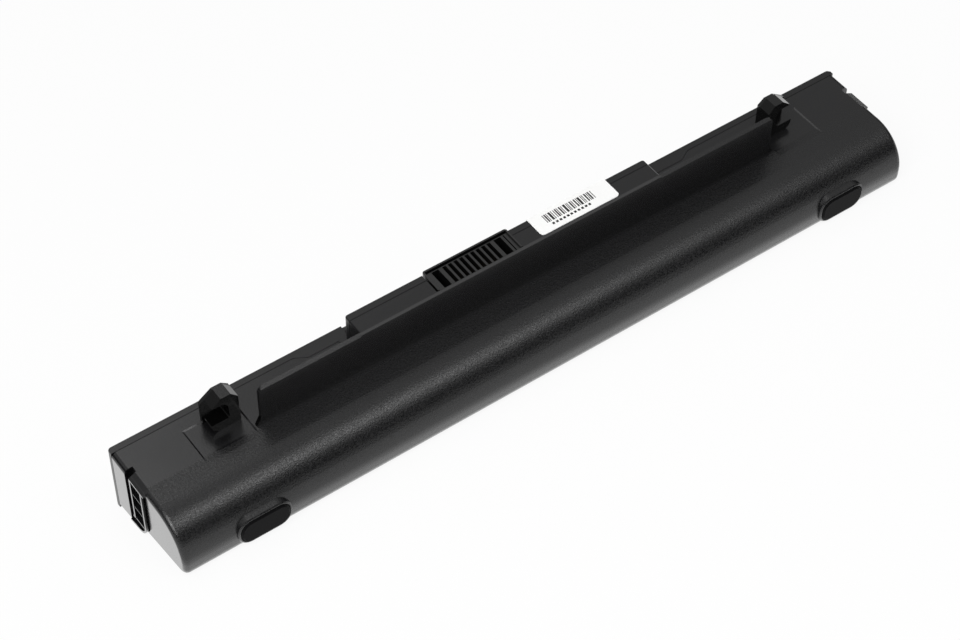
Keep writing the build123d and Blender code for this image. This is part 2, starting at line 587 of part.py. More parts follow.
def make_ring(number):
    """Insulating washer round the positive button."""
    face = RegularPolygon(RING_OUTER / 2, RING_SIDES) - RegularPolygon(RING_INNER / 2, RING_SIDES)
    x = cell_middle(number) + CELL_LENGTH / 2 - BUTTON_HEIGHT
    return extrude(Plane.YZ.offset(x) * (Pos(-CELL_DEPTH, CELL_Z) * face), amount=RING_THICKNESS)


def make_link_tab(number):
    """Nickel strip from one cell's button to the next cell's base, with a tap folded on top."""
    x = cell_middle(number) + CELL_LENGTH / 2 + CELL_SPACING / 2
    top = CELL_Z + CELL_RADIUS - 1.6
    y = -CELL_DEPTH + 1.0
    t = TAB_THICKNESS
    piece = block(x - CELL_SPACING / 2, x + CELL_SPACING / 2, y - TAB_WIDTH / 2, y + TAB_WIDTH / 2,
                  CELL_Z - 3, CELL_Z + 3)
    piece += block(x - t / 2, x + t / 2, y - TAB_WIDTH / 2, y + TAB_WIDTH / 2, CELL_Z, top)
    return piece


def make_end_tab(side):
    """Nickel strip welded to an end cell and bent back along its side."""
    x = side * STACK_HALF
    t = TAB_THICKNESS
    reach = CELL_DEPTH - CELL_RADIUS - 0.2
    low, high = CELL_Z - TAB_WIDTH / 2, CELL_Z + TAB_WIDTH / 2
    piece = block(x, x + side * t, -CELL_DEPTH - 4, -reach, low, high)
    piece += block(x + side * t, x - side * TAB_RUN, -reach, -reach + t, low, high)
    return piece


def make_board():
    """Protection board, standing on edge in the connector block."""
    left, right = BLOCK_MID - BOARD_LENGTH / 2, BLOCK_MID + BOARD_LENGTH / 2
    board = block(left, right, -BOARD_BACK, -BOARD_FRONT, BOARD_BOTTOM, BOARD_TOP)
    gap = BOARD_WINDOW_GAP
    low = CONNECTOR_BOTTOM - FIT_GAP
    board -= block(CONNECTOR_LEFT - gap, CONNECTOR_RIGHT + gap, 0, -DEPTH, low, BOARD_TOP + 1)
    return board


def on_board(x, z, length, height, thickness):
    """A component soldered flat on the board's back face."""
    return block(x - length / 2, x + length / 2, -BOARD_BACK, -BOARD_BACK + thickness,
                 z - height / 2, z + height / 2)


def make_gauge_chip():
    """Fuel-gauge chip in a small outline package, with its two rows of legs."""
    x, z, legs, pitch = BLOCK_MID + GAUGE_X, BOARD_BOTTOM + 8.7, 10, 0.65
    chip = Pos(0, 0.1, 0) * on_board(x, z, 7.8, 4.4, 1.1)
    for number in range(legs):
        leg_x = x + (number - (legs - 1) / 2) * pitch
        chip += on_board(leg_x, z, 0.3, 6.4, 0.3)
    return chip


def make_mosfet(x):
    """Power switch: moulded body on its drain tab."""
    body = on_board(x, BOARD_BOTTOM + 11.2, 6.0, 5.2, 1.2)
    return body + on_board(x, BOARD_BOTTOM + 7.9, 5.2, 1.6, 0.4)


def make_fuse():
    """Chemical fuse between two end caps."""
    x, z = BLOCK_MID + FUSE_X, BOARD_BOTTOM + 6.7
    return on_board(x, z, 5.4, 3.2, 1.0) + on_board(x, z, 6.2, 2.6, 0.6)


def make_shunt():
    """Current-sense resistor."""
    return on_board(BLOCK_MID + SHUNT_X, BOARD_BOTTOM + 3.7, 6.4, 3.2, 0.7)


def make_capacitor(x):
    return on_board(x, BOARD_BOTTOM + 3.9, 2.0, 1.25, 1.0)


def make_thermistor():
    """Bead thermistor lying along a cell, with its leads up to the board."""
    radius, offset, length = 1.1, 7.5, 3.6
    x = BLOCK_MID + THERMISTOR_X
    lift = math.sqrt((CELL_RADIUS + radius + 0.02) ** 2 - offset ** 2)
    bead = Pos(x, offset - CELL_DEPTH, CELL_Z + lift) * (Rot(0, 90, 0) * Cylinder(radius, length))
    leads = block(x - 0.4, x + 0.4, -BOARD_BACK, 0.7 - BOARD_BACK, CELL_Z + lift + 0.3, BOARD_BOTTOM + 1.6)
    return bead + leads


def make_wire(points):
    """Insulated lead along straight runs joined by bends."""
    radii = []
    for a, b, c in zip(points, points[1:], points[2:]):
        before, after = Vector(*b) - Vector(*a), Vector(*c) - Vector(*b)
        turn = math.radians(before.get_angle(after))
        radii.append(0.45 * min(before.length, after.length) / math.tan(turn / 2))
    path = FilletPolyline(*points, radius=radii)
    start = Plane(origin=path @ 0, z_dir=path % 0)
    return sweep(start * RegularPolygon(WIRE_DIAMETER / 2, WIRE_SIDES), path=path)


def make_power_wire(side):
    """Lead from an end tab, through the channel behind the cells, up to the board."""
    outer = side * (STACK_HALF - TAB_RUN)
    inner = (BLOCK_RIGHT if side > 0 else BLOCK_LEFT) - side * 2.5 * BOARD_END_ROOM
    run = outer - inner
    lane = CELL_RADIUS + 0.2 + TAB_THICKNESS + WIRE_DIAMETER / 2 - CELL_DEPTH
    slack = 2 * WIRE_DIAMETER / 3
    points = [(outer + side * slack, lane, CELL_Z)]
    points.append((inner + 0.72 * run, lane + slack, CELL_Z + 0.5 * slack))
    points.append((inner + 0.40 * run, lane + 1.5 * slack, CELL_Z - 0.5 * slack))
    points.append((inner + 0.16 * run, lane + slack, CELL_Z + 2 * slack))
    points.append((inner, lane - 0.5 * slack, INSIDE - 2.4 * slack))
    points.append((inner - side * 3 * slack, WIRE_DIAMETER / 2 - BOARD_BACK, BOARD_BOTTOM + 4 * slack))
    return make_wire(points)


def make_tape(number):
    """Double-sided foam strip between a cell and the seat's wall."""
    x, y = cell_middle(number), -CELL_DEPTH
    length, width = TAPE_LENGTH / 2, TAPE_WIDTH / 2
    return block(x - length, x + length, y - width, y + width, INSIDE - CELL_CLEARANCE, INSIDE)


def make_foam(side):
    """Foam block between the end cell and the end wall."""
    x = side * (END_X - WALL)
    back, front = GUIDE_FRONT + GUIDE_MOAT + WALL + FOAM_GAP, CELL_DEPTH + FOAM_REACH
    low, high = CELL_Z - FOAM_HEIGHT / 2, CELL_Z + FOAM_HEIGHT / 2
    return block(x, x - side * FOAM, -back, -front, low, high)


def placed(shape):
    """Lay the pack on its base, with the origin in the middle of the base."""
    return Pos(0, ORIGIN_BACK, 0) * (Rot(BASE_ANGLE, 0, 0) * shape)


pieces = {
    "front_shell": make_front_shell(),
    "back_cover": make_back_cover(),
    "connector_housing": make_connector(),
    "circuit_board": make_board(),
    "gauge_chip": make_gauge_chip(),
    "charge_mosfet": make_mosfet(BLOCK_MID + CHARGE_SWITCH_X),
    "discharge_mosfet": make_mosfet(BLOCK_MID + DISCHARGE_SWITCH_X),
    "thermal_fuse": make_fuse(),
    "sense_resistor": make_shunt(),
    "thermistor": make_thermistor(),
    "paper_label": make_label(),
}
for number in range(CONTACTS):
    pieces[f"terminal_{number + 1}"] = make_terminal(number)
for number in range(CELL_COUNT):
    pieces[f"cell_{number + 1}"] = make_cell(number)
    pieces[f"insulator_ring_{number + 1}"] = make_ring(number)
    pieces[f"adhesive_strip_{number + 1}"] = make_tape(number)
for number in range(CELL_COUNT - 1):
    pieces[f"link_tab_{number + 1}"] = make_link_tab(number)
for number, x in enumerate(CAPACITORS_X):
    pieces[f"capacitor_{number + 1}"] = make_capacitor(BLOCK_MID + x)
for name, side in (("left", -1), ("right", 1)):
    foot = make_foot()
    pieces[f"rubber_foot_{name}"] = foot if side > 0 else mirror(foot, about=Plane.YZ)
    pieces[f"end_tab_{name}"] = make_end_tab(side)
    pieces[f"power_wire_{name}"] = make_power_wire(side)
    pieces[f"end_foam_{name}"] = make_foam(side)

os.makedirs("parts", exist_ok=True)
for name, shape in pieces.items():
    export_step(placed(shape), f"parts/{name}.step")
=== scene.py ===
import math

import bmesh
import bpy
from mathutils import Matrix, Vector


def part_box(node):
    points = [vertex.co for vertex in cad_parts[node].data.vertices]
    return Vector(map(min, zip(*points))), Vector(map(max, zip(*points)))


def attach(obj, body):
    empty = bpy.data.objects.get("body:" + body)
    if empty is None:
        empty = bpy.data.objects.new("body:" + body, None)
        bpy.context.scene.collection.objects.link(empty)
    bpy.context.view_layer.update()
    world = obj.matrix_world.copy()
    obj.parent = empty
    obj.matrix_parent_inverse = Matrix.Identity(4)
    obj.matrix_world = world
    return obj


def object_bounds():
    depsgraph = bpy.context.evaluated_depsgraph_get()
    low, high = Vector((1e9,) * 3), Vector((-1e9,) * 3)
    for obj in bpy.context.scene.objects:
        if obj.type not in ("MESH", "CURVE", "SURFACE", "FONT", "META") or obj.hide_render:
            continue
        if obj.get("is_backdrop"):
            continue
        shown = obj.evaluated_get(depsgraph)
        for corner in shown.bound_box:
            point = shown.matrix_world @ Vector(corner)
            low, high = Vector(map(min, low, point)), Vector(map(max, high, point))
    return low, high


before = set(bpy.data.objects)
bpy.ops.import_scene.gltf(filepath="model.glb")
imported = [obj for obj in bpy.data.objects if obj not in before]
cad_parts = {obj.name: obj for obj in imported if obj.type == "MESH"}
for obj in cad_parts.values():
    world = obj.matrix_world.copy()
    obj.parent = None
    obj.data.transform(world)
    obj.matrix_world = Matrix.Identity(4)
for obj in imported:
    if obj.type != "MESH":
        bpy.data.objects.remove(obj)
cad_low, cad_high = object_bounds()

# Front shell
# One black ABS moulding: the D-shaped bar with its fin, connector block, hooks and end guides.
# The tool is polished for the seat and the end faces, and spark-eroded for the nose and base,
# which leaves them with a fine grain that breaks up the highlight.
MM = 0.001
SEAT_TILT = math.radians(10)
BACK_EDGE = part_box("back_cover")[1].y
SEAT_FRAME = Matrix.Translation((0, BACK_EDGE, 0)) @ Matrix.Rotation(SEAT_TILT, 4, "X")
END_INSET, END_SLACK = 0.9 * MM, 0.06 * MM
FLANGE_SLACK = 0.05 * MM
END_FACE = cad_high.x - END_INSET
FIN_END = 94.4 * MM
SEAT_HEIGHT, SEAT_SLACK = 25.8 * MM, 0.15 * MM
CREST_HEIGHT, CREST_BACK = 41.33 * MM, -16.95 * MM
GRAIN_START, GRAIN_FADE = -18.6 * MM, 0.5 * MM
BUFF_TOP, BUFF_FULL = 8.0 * MM, 4.0 * MM
GRAIN_SIZE, GRAIN_DEPTH = 0.6 * MM, 0.08 * MM
FLOW_SIZE = 14 * MM
FLAT_BUMP, NOSE_BUMP = 0.25, 1.0
GLOSSY_ROUGHNESS, COAT_ROUGHNESS = 0.12, 0.15
ABS_BLACK = "#101011"
ABS_GRAINED = "#131314"
# The hooks' darker black is painted shade, for the shade inside their mouths.
HOOK_PAINTED_SHADE_BLACK = "#060606"
ABS_IOR = 1.54


def linear(code):
    """An sRGB hex colour as linear RGBA."""
    channels = [int(code[i:i + 2], 16) / 255 for i in (1, 3, 5)]
    return [c / 12.92 if c <= 0.04045 else ((c + 0.055) / 1.055) ** 2.4 for c in channels] + [1.0]


def add(tree, kind, inputs=None, **settings):
    """A node with its settings; each input takes a value or another node's socket."""
    made = tree.nodes.new(kind)
    for name, value in settings.items():
        setattr(made, name, value)
    for name, value in (inputs or {}).items():
        if isinstance(value, bpy.types.NodeSocket):
            tree.links.new(value, made.inputs[name])
        else:
            made.inputs[name].default_value = value
    return made


def new_finish(name):
    """An empty material with its tree, its output node and its Object coordinates."""
    material = bpy.data.materials.new(name)
    material.use_nodes = True
    tree = material.node_tree
    tree.nodes.clear()
    spot = add(tree, "ShaderNodeTexCoord").outputs["Object"]
    return material, tree, add(tree, "ShaderNodeOutputMaterial"), spot


def dress(material, *nodes):
    """Give the material to CAD nodes."""
    for name in nodes:
        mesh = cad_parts[name].data
        mesh.materials.clear()
        mesh.materials.append(material)


# Moulded ABS, part polished and part spark-eroded: black, satin on the flats, glossy on the
# hooks, the ends, the nose's foot and the fin's rubbed crest, with tiny glints on the grain.
# The hooks are painted a darker black: painted shade for the shade inside their mouths.
# Real grain is too fine to show here, so it is drawn as coarse as it needs to show.
shell_abs, tree, out, spot = new_finish("moulded_abs_polished_and_eroded")
to_seat = (0, -BACK_EDGE * math.cos(SEAT_TILT), BACK_EDGE * math.sin(SEAT_TILT))
turned = {"Vector": spot, "Location": to_seat, "Rotation": (-SEAT_TILT, 0, 0)}
seat_spot = add(tree, "ShaderNodeMapping", turned).outputs["Vector"]
part = add(tree, "ShaderNodeSeparateXYZ", {"Vector": seat_spot})
start = {"Value": part.outputs["Y"], "From Min": GRAIN_START,
         "From Max": GRAIN_START - GRAIN_FADE}
grained = add(tree, "ShaderNodeMapRange", start).outputs[0]
reach = add(tree, "ShaderNodeMath", {0: part.outputs["X"]}, operation="ABSOLUTE").outputs[0]
face = {0: reach, 1: END_FACE, 2: END_SLACK}
face = add(tree, "ShaderNodeMath", face, operation="COMPARE").outputs[0]
flange = {0: reach, 1: cad_high.x - FLANGE_SLACK}
flange = add(tree, "ShaderNodeMath", flange, operation="GREATER_THAN").outputs[0]
end = add(tree, "ShaderNodeMath", {0: face, 1: flange}, operation="MAXIMUM").outputs[0]
raised = {0: part.outputs["Z"], 1: SEAT_HEIGHT + SEAT_SLACK}
raised = add(tree, "ShaderNodeMath", raised, operation="GREATER_THAN").outputs[0]
outer = add(tree, "ShaderNodeMath", {0: reach, 1: FIN_END}, operation="GREATER_THAN").outputs[0]
hook = add(tree, "ShaderNodeMath", {0: raised, 1: outer}, operation="MULTIPLY").outputs[0]
inside = add(tree, "ShaderNodeMath", {0: 1.0, 1: end}, operation="SUBTRACT").outputs[0]
rough_part = add(tree, "ShaderNodeMath", {0: grained, 1: inside}, operation="MULTIPLY").outputs[0]
pits = {"Vector": spot, "Scale": 1 / GRAIN_SIZE, "Detail": 3.0, "Roughness": 0.65}
grain = add(tree, "ShaderNodeTexNoise", pits).outputs[0]
flow = {"Vector": spot, "Scale": 1 / FLOW_SIZE, "Detail": 2.0}
flow = add(tree, "ShaderNodeTexNoise", flow).outputs[0]
height = add(tree, "ShaderNodeSeparateXYZ", {"Vector": spot}).outputs["Z"]
foot = {"Value": height, "From Min": BUFF_TOP, "From Max": BUFF_FULL}
buffed = add(tree, "ShaderNodeMapRange", foot).outputs[0]
bright = add(tree, "ShaderNodeMath", {0: hook, 1: end}, operation="MAXIMUM").outputs[0]
high = {0: part.outputs["Z"], 1: CREST_HEIGHT}
high = add(tree, "ShaderNodeMath", high, operation="GREATER_THAN").outputs[0]
front = {0: part.outputs["Y"], 1: CREST_BACK}
front = add(tree, "ShaderNodeMath", front, operation="LESS_THAN").outputs[0]
rubbed = add(tree, "ShaderNodeMath", {0: high, 1: front}, operation="MULTIPLY").outputs[0]
gloss = add(tree, "ShaderNodeMath", {0: buffed, 1: end}, operation="MAXIMUM").outputs[0]
gloss = add(tree, "ShaderNodeMath", {0: gloss, 1: rubbed}, operation="MAXIMUM").outputs[0]
tones = {"Factor": rough_part, "A": linear(ABS_BLACK), "B": linear(ABS_GRAINED)}
body = add(tree, "ShaderNodeMix", tones, data_type="RGBA").outputs["Result"]
# Painted shade: the hooks get a darker black for the shade inside their mouths.
tones = {"Factor": hook, "A": body, "B": linear(HOOK_PAINTED_SHADE_BLACK)}
colour = add(tree, "ShaderNodeMix", tones, data_type="RGBA").outputs["Result"]
flat = add(tree, "ShaderNodeMapRange", {"Value": flow, "To Min": 0.2, "To Max": 0.28}).outputs[0]
sparkle = {"Value": grain, "From Min": 0.38, "From Max": 0.66, "To Min": 0.42, "To Max": 0.16}
eroded = add(tree, "ShaderNodeMapRange", sparkle).outputs[0]
sides = {"Factor": rough_part, "A": flat, "B": eroded}
rough = add(tree, "ShaderNodeMix", sides).outputs["Result"]
ends = {"Factor": bright, "A": rough, "B": GLOSSY_ROUGHNESS}
roughness = add(tree, "ShaderNodeMix", ends).outputs["Result"]
depth = {"Value": rough_part, "To Min": FLAT_BUMP, "To Max": NOSE_BUMP}
depth = add(tree, "ShaderNodeMapRange", depth).outputs[0]
bumps = {"Height": grain, "Strength": depth, "Distance": GRAIN_DEPTH}
bump = add(tree, "ShaderNodeBump", bumps).outputs[0]
skin = {"Base Color": colour, "Roughness": roughness, "Normal": bump, "IOR": ABS_IOR,
        "Coat Weight": gloss, "Coat Roughness": COAT_ROUGHNESS}
shader = add(tree, "ShaderNodeBsdfPrincipled", skin)
tree.links.new(shader.outputs[0], out.inputs["Surface"])
dress(shell_abs, "front_shell")

# Back cover
# A shallow tray from the same black ABS, welded to the front shell.  Its top strip and the
# block's back wall are polished like the seat, and keep only a trace of texture.
cover_abs, tree, out, spot = new_finish("moulded_abs_satin")
flow = {"Vector": spot, "Scale": 1 / FLOW_SIZE, "Detail": 2.0}
flow = add(tree, "ShaderNodeTexNoise", flow).outputs[0]
rough = add(tree, "ShaderNodeMapRange", {"Value": flow, "To Min": 0.26, "To Max": 0.34}).outputs[0]
pits = {"Vector": spot, "Scale": 1 / GRAIN_SIZE, "Detail": 3.0, "Roughness": 0.65}
grain = add(tree, "ShaderNodeTexNoise", pits).outputs[0]
bumps = {"Height": grain, "Strength": FLAT_BUMP, "Distance": GRAIN_DEPTH}
bump = add(tree, "ShaderNodeBump", bumps).outputs[0]
skin = {"Base Color": linear(ABS_BLACK), "Roughness": rough, "Normal": bump, "IOR": ABS_IOR}
shader = add(tree, "ShaderNodeBsdfPrincipled", skin)
tree.links.new(shader.outputs[0], out.inputs["Surface"])
dress(cover_abs, "back_cover")

# Connector housing
# A separate insulator in glass-filled nylon, pushed through the block from inside.  The fibres
# near its surface break up its sheen a little.
NYLON_BLACK = "#0b0b0b"
NYLON_IOR = 1.66
FIBRE_SIZE = 0.4 * MM  # coarser than real fibres, so that they show
housing_nylon, tree, out, spot = new_finish("glass_filled_nylon_moulded")
fibres = {"Vector": spot, "Scale": 1 / FIBRE_SIZE, "Detail": 4.0}
fibres = add(tree, "ShaderNodeTexNoise", fibres).outputs[0]
rough = add(tree, "ShaderNodeMapRange", {"Value": fibres, "To Min": 0.24, "To Max": 0.34}).outputs[0]
bumps = {"Height": fibres, "Strength": 0.12, "Distance": 0.03 * MM}
bump = add(tree, "ShaderNodeBump", bumps).outputs[0]
skin = {"Base Color": linear(NYLON_BLACK), "Roughness": rough, "Normal": bump, "IOR": NYLON_IOR}
shader = add(tree, "ShaderNodeBsdfPrincipled", skin)
tree.links.new(shader.outputs[0], out.inputs["Surface"])
dress(housing_nylon, "connector_housing")

# Contacts
# Forked leaves stamped from phosphor bronze and flash-plated with gold, deep in the slots, with
# the faint lines of the rolled strip.  Their gold is painted much darker than bare gold:
# painted shade for the shade deep in the slots.
# Darkened gold: painted shade for the shade deep in the connector's slots.
GOLD_FLASH_WITH_PAINTED_SHADE = "#5e4b2a"
STRIP_LINE = 0.3 * MM  # coarser than real rolling lines, so that they show
contact_plate, tree, out, spot = new_finish("gold_flashed_bronze_stamped")
rolled = {"Vector": spot, "Scale": 1 / STRIP_LINE, "Detail": 2.0}
lines = add(tree, "ShaderNodeTexNoise", rolled).outputs[0]
rough = add(tree, "ShaderNodeMapRange", {"Value": lines, "To Min": 0.3, "To Max": 0.42}).outputs[0]
plate = {"Base Color": linear(GOLD_FLASH_WITH_PAINTED_SHADE), "Metallic": 1.0, "Roughness": rough}
shader = add(tree, "ShaderNodeBsdfPrincipled", plate)
tree.links.new(shader.outputs[0], out.inputs["Surface"])
dress(contact_plate, *[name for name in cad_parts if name.startswith("terminal_")])

# Rubber feet
# Pads die-cut from black rubber sheet, glued into the bosses on the nose.  The rubber is matt,
# with a faint bloom that greys it.
RUBBER_BLACK = "#0a0a0b"
RUBBER_IOR = 1.15
PORE_SIZE = 0.45 * MM  # coarser than real pores, so that they show
CUT_EDGE = 0.3 * MM
foot_rubber, tree, out, spot = new_finish("die_cut_rubber")
pores = {"Vector": spot, "Scale": 1 / PORE_SIZE, "Detail": 4.0, "Roughness": 0.6}
pores = add(tree, "ShaderNodeTexNoise", pores).outputs[0]
rough = add(tree, "ShaderNodeMapRange", {"Value": pores, "To Min": 0.46, "To Max": 0.58}).outputs[0]
corners = add(tree, "ShaderNodeBevel", {"Radius": CUT_EDGE}, samples=4).outputs[0]
bumps = {"Height": pores, "Strength": 0.2, "Distance": 0.04 * MM, "Normal": corners}
bump = add(tree, "ShaderNodeBump", bumps).outputs[0]
skin = {"Base Color": linear(RUBBER_BLACK), "Roughness": rough, "Normal": bump,
        "IOR": RUBBER_IOR}
shader = add(tree, "ShaderNodeBsdfPrincipled", skin)
tree.links.new(shader.outputs[0], out.inputs["Surface"])
dress(foot_rubber, "rubber_foot_left", "rubber_foot_right")

# Label
# A white paper sticker folded over the block's back edge.  Its print is a row of plain bars of
# mixed widths and a line of short dashes, in black ink.
PAPER_WHITE = "#fdfdfc"
INK_BLACK = "#1a1a1a"
INK_HEIGHT = 0.02 * MM
BAR_WIDTHS = (0.25, 0.5, 0.25, 0.75, 0.25, 0.25, 0.5)
BAR_GAPS = (0.35, 0.25, 0.5, 0.3, 0.55)
BARS_BACK, BARS_FRONT = -10.2 * MM, -13.5 * MM
BARS_LEFT, BARS_RIGHT = 4.5 * MM, 6.5 * MM
DASH, DASH_STEP, DASH_WIDTH = 0.8 * MM, 1.35 * MM, 0.8 * MM
DASHES_BACK = -14.2 * MM
DASHES_LEFT, DASHES_RIGHT = 5.5 * MM, 9 * MM
LABEL_BACK = -8.9 * MM
PULP_SIZE, INK_GRAIN = 0.6 * MM, 0.2 * MM  # both coarser than real, so that they show
label_low, label_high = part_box("paper_label")
label_top = (label_high.z - LABEL_BACK * math.sin(SEAT_TILT)) / math.cos(SEAT_TILT)
paper, tree, out, spot = new_finish("coated_paper")
pulp = {"Vector": spot, "Scale": 1 / PULP_SIZE, "Detail": 5.0}
fibre = add(tree, "ShaderNodeTexNoise", pulp).outputs[0]
tone = add(tree, "ShaderNodeMapRange", {"Value": fibre, "To Min": 0.97, "To Max": 1.0}).outputs[0]
tones = {"Factor": 1.0, "A": linear(PAPER_WHITE), "B": tone}
colour = add(tree, "ShaderNodeMix", tones, data_type="RGBA", blend_type="MULTIPLY")
colour = colour.outputs["Result"]
bumps = {"Height": fibre, "Strength": 0.05, "Distance": 0.02 * MM}
bump = add(tree, "ShaderNodeBump", bumps).outputs[0]
sheet = {"Base Color": colour, "Roughness": 0.6, "Normal": bump}
shader = add(tree, "ShaderNodeBsdfPrincipled", sheet)
tree.links.new(shader.outputs[0], out.inputs["Surface"])
dress(paper, "paper_label")
ink, tree, out, spot = new_finish("printed_ink")
dots = add(tree, "ShaderNodeTexNoise", {"Vector": spot, "Scale": 1 / INK_GRAIN}).outputs[0]
rough = add(tree, "ShaderNodeMapRange", {"Value": dots, "To Min": 0.5, "To Max": 0.6}).outputs[0]
shader = add(tree, "ShaderNodeBsdfPrincipled", {"Base Color": linear(INK_BLACK), "Roughness": rough})
tree.links.new(shader.outputs[0], out.inputs["Surface"])


def print_block(mesh, left, width, back, front):
    """A printed rectangle on the label, in the seat's own directions."""
    scale = Matrix.Diagonal((width, back - front, INK_HEIGHT, 1))
    middle = Matrix.Translation((left + width / 2, (front + back) / 2, label_top + INK_HEIGHT / 2))
    bmesh.ops.create_cube(mesh, size=1, matrix=SEAT_FRAME @ middle @ scale)


def show(name, mesh, material):
    """Make an object of a finished bmesh, fixed to the pack."""
    bmesh.ops.recalc_face_normals(mesh, faces=mesh.faces)
    data = bpy.data.meshes.new(name)
    mesh.to_mesh(data)
    mesh.free()
    data.materials.append(material)
    piece = bpy.data.objects.new(name, data)
    bpy.context.scene.collection.objects.link(piece)
    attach(piece, "root")


bars = bmesh.new()
x, number = label_low.x + BARS_LEFT, 0
while x < label_high.x - BARS_RIGHT:
    width = BAR_WIDTHS[number % len(BAR_WIDTHS)] * MM
    print_block(bars, x, width, BARS_BACK, BARS_FRONT)
    x += width + BAR_GAPS[number % len(BAR_GAPS)] * MM
    number += 1
show("label_bars", bars, ink)
dashes = bmesh.new()
x = label_low.x + DASHES_LEFT
while x < label_high.x - DASHES_RIGHT:
    print_block(dashes, x, DASH, DASHES_BACK, DASHES_BACK - DASH_WIDTH)
    x += DASH_STEP
show("label_dashes", dashes, ink)

# Cells
# Four round steel cans in line, each shrunk into a thin green PVC sleeve that wraps both rims and
# keeps faint ripples from shrinking.
SLEEVE_GREEN = "#2f7a62"
PVC_IOR = 1.53
RIPPLE_SIZE = 6 * MM
sleeve, tree, out, spot = new_finish("heat_shrunk_pvc_sleeve")
ripple = add(tree, "ShaderNodeTexNoise", {"Vector": spot, "Scale": 1 / RIPPLE_SIZE}).outputs[0]
rough = add(tree, "ShaderNodeMapRange", {"Value": ripple, "To Min": 0.2, "To Max": 0.32}).outputs[0]
bumps = {"Height": ripple, "Strength": 0.1, "Distance": 0.1 * MM}
bump = add(tree, "ShaderNodeBump", bumps).outputs[0]
skin = {"Base Color": linear(SLEEVE_GREEN), "Roughness": rough, "Normal": bump, "IOR": PVC_IOR}
shader = add(tree, "ShaderNodeBsdfPrincipled", skin)
tree.links.new(shader.outputs[0], out.inputs["Surface"])
dress(sleeve, *[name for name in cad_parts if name.startswith("cell_")])

# Link strips, end strips and sense resistor
# Pure nickel ribbon, rolled and spot-welded to the cells, with fine lines along the ribbon; the
# resistor is a bare alloy link.
NICKEL = "#c4c1b8"
RIBBON_LINE, RIBBON_STRETCH = 1.5 * MM, 12  # coarser than real lines, so that they show
strip, tree, out, spot = new_finish("rolled_nickel")
drawn = add(tree, "ShaderNodeMapping", {"Vector": spot, "Scale": (1, RIBBON_STRETCH, 1)}).outputs[0]
rolled = {"Vector": drawn, "Scale": 1 / RIBBON_LINE, "Detail": 3.0}
lines = add(tree, "ShaderNodeTexNoise", rolled).outputs[0]
rough = add(tree, "ShaderNodeMapRange", {"Value": lines, "To Min": 0.28, "To Max": 0.42}).outputs[0]
plate = {"Base Color": linear(NICKEL), "Metallic": 1.0, "Roughness": rough}
shader = add(tree, "ShaderNodeBsdfPrincipled", plate)
tree.links.new(shader.outputs[0], out.inputs["Surface"])
bare = ("link_tab", "end_tab", "sense_resistor")
dress(strip, *[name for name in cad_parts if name.startswith(bare)])

# Circuit board
# Glass-fibre laminate under green solder mask, standing on edge behind the fin.  The weave just
# shows through the mask's gloss.
MASK_GREEN = "#124a2a"
WEAVE_SIZE = 0.9 * MM
board, tree, out, spot = new_finish("solder_mask_on_laminate")
weave = add(tree, "ShaderNodeTexVoronoi", {"Vector": spot, "Scale": 1 / WEAVE_SIZE}).outputs[0]
bumps = {"Height": weave, "Strength": 0.05, "Distance": 0.03 * MM}
bump = add(tree, "ShaderNodeBump", bumps).outputs[0]
mask = {"Base Color": linear(MASK_GREEN), "Roughness": 0.28, "Normal": bump}
shader = add(tree, "ShaderNodeBsdfPrincipled", mask)
tree.links.new(shader.outputs[0], out.inputs["Surface"])
dress(board, "circuit_board")

# Small inner pieces
# Moulded chips, ceramic parts, paper rings, foam and insulated leads, each with its own plain
# finish and a little grain: colour, roughness, grain in mm and the nodes.
GRAIN_SPREAD = 0.06
SMALL_FINISHES = {
    "epoxy_moulded_package": ("#1b1b1c", 0.5, 0.3,
                              ("gauge_chip", "charge_mosfet", "discharge_mosfet")),
    "fired_ceramic_tan": ("#a8855f", 0.5, 0.3, tuple(f"capacitor_{n}" for n in range(1, 5))),
    "fired_ceramic_white": ("#dedbd2", 0.45, 0.3, ("thermal_fuse",)),
    "dipped_epoxy_bead": ("#20201f", 0.25, 0.5, ("thermistor",)),
    "pressed_insulating_paper": ("#dcd6bd", 0.8, 0.8,
                                 tuple(f"insulator_ring_{n}" for n in range(1, 5))),
    "acrylic_foam_tape": ("#e3e3dd", 0.85, 0.7,
                          tuple(f"adhesive_strip_{n}" for n in range(1, 5))),
    "open_cell_foam": ("#3b3b3d", 0.9, 1.2, ("end_foam_left", "end_foam_right")),
    "extruded_pvc_black": ("#19191a", 0.4, 0.8, ("power_wire_left",)),
    "extruded_pvc_red": ("#a11b18", 0.4, 0.8, ("power_wire_right",)),
}
for name, (code, middle, grain_mm, nodes) in SMALL_FINISHES.items():
    plain, tree, out, spot = new_finish(name)
    fine = {"Vector": spot, "Scale": 1 / (grain_mm * MM), "Detail": 3.0}
    grain = add(tree, "ShaderNodeTexNoise", fine).outputs[0]
    spread = {"Value": grain, "To Min": middle - GRAIN_SPREAD,
              "To Max": middle + GRAIN_SPREAD}
    rough = add(tree, "ShaderNodeMapRange", spread).outputs[0]
    bumps = {"Height": grain, "Strength": 0.15, "Distance": 0.03 * MM}
    bump = add(tree, "ShaderNodeBump", bumps).outputs[0]
    skin = {"Base Color": linear(code), "Roughness": rough, "Normal": bump}
    shader = add(tree, "ShaderNodeBsdfPrincipled", skin)
    tree.links.new(shader.outputs[0], out.inputs["Surface"])
    dress(plain, *nodes)

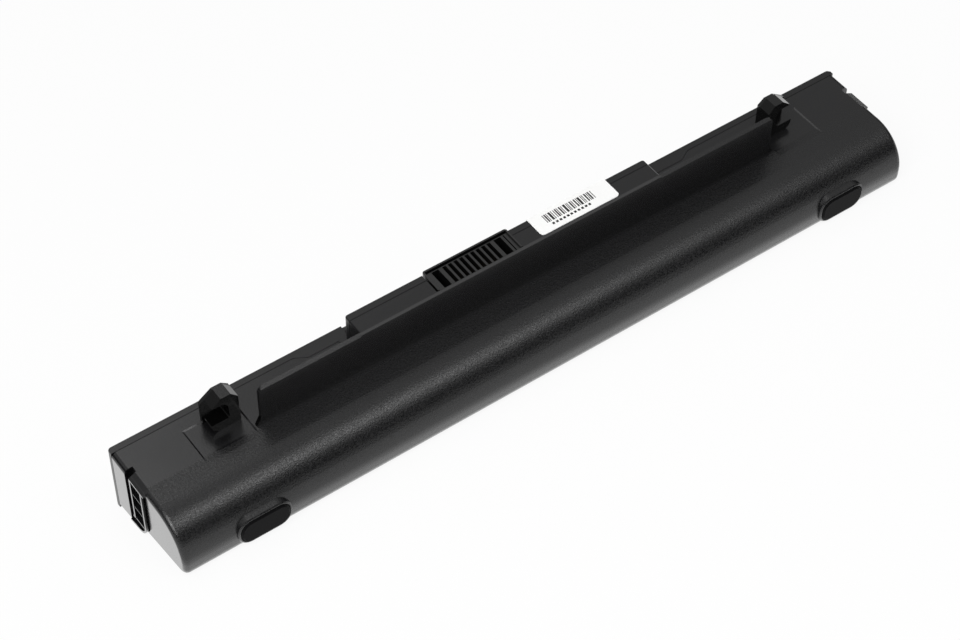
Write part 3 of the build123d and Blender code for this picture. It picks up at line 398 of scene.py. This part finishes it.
# Table
# A white paper sweep under the pack.  Camera and glossy rays see mostly its own white, with a
# share of real diffuse paper that keeps the pack's soft shadow.
TABLE_WHITE = "#f4f4f4"
TABLE_SIZE = 6
OWN_WHITE = 0.9
bpy.ops.mesh.primitive_plane_add(size=TABLE_SIZE)
table = bpy.context.object
table.name = "table"
table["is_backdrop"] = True
sweep, tree, out, _ = new_finish("white_paper_sweep")
rays = add(tree, "ShaderNodeLightPath").outputs
seen = {0: rays["Is Camera Ray"], 1: rays["Is Glossy Ray"]}
direct = add(tree, "ShaderNodeMath", seen, operation="MAXIMUM").outputs[0]
share = add(tree, "ShaderNodeMath", {0: direct, 1: OWN_WHITE}, operation="MULTIPLY").outputs[0]
matt = add(tree, "ShaderNodeBsdfDiffuse", {"Color": linear(TABLE_WHITE)}).outputs[0]
lit = add(tree, "ShaderNodeEmission", {"Color": (1, 1, 1, 1), "Strength": 1.0}).outputs[0]
mixed = add(tree, "ShaderNodeMixShader", {"Fac": share, 1: matt, 2: lit})
tree.links.new(mixed.outputs[0], out.inputs["Surface"])
table.data.materials.append(sweep)

# Light
# A dark room with a soft glow overhead and four soft boxes, each given by its place, its size
# and its brightness.  The two in front lay the highlight along the nose, stronger on the left.
ROOM_LOW, ROOM_HIGH = 0.0, 0.58
GLOW_FROM, GLOW_TO = 0.25, 0.85
SOFT_BOXES = {
    "front_left_box": ((0.16, -0.63, 0.87), (0.27, 0.32), 4.4),
    "front_right_box": ((0.43, -0.60, 0.82), (0.27, 0.32), 2.2),
    "key_box": ((-0.95, -0.65, 1.1), (0.9, 0.9), 6.5),
    "overhead_box": ((-0.02, 0.42, 0.90), (0.35, 0.5), 1.1),
}
world = bpy.data.worlds.new("room")
bpy.context.scene.world = world
world.use_nodes = True
room = world.node_tree
way = add(room, "ShaderNodeTexCoord").outputs["Generated"]
up = add(room, "ShaderNodeSeparateXYZ", {"Vector": way})
rise = {"Value": up.outputs["Z"], "From Min": GLOW_FROM, "From Max": GLOW_TO,
        "To Min": ROOM_LOW, "To Max": ROOM_HIGH}
glow = add(room, "ShaderNodeMapRange", rise).outputs[0]
seen = add(room, "ShaderNodeLightPath").outputs["Is Camera Ray"]
strength = add(room, "ShaderNodeMath", {0: seen, 1: glow}, operation="MAXIMUM").outputs[0]
room.links.new(strength, room.nodes["Background"].inputs["Strength"])
room.nodes["Background"].inputs["Color"].default_value = (1, 1, 1, 1)
for name, (place, size, brightness) in SOFT_BOXES.items():
    box = bpy.data.lights.new(name, "AREA")
    box.shape = "RECTANGLE"
    box.size, box.size_y = size
    box.energy = brightness * math.pi * size[0] * size[1]
    lamp = bpy.data.objects.new(name, box)
    lamp.location = place
    lamp.rotation_euler = (-Vector(place)).to_track_quat("-Z", "Y").to_euler()
    lamp.visible_camera = False
    bpy.context.scene.collection.objects.link(lamp)

# Camera
# A long lens above the near end's front corner, turned a little on its axis, as the photograph
# was taken.
FOCAL_LENGTH_MM, SENSOR_MM = 88.98, 36
CAMERA_PLACE = (-0.29045, -0.46230, 0.48574)
CAMERA_TURN = (48.571, 5.280, -35.252)
lens = bpy.data.cameras.new("camera")
lens.lens = FOCAL_LENGTH_MM
lens.sensor_width = SENSOR_MM
camera = bpy.data.objects.new("camera", lens)
camera.location = CAMERA_PLACE
camera.rotation_euler = [math.radians(turn) for turn in CAMERA_TURN]
bpy.context.scene.collection.objects.link(camera)
bpy.context.scene.camera = camera
bpy.context.scene.view_settings.view_transform = "Standard"

low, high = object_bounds()
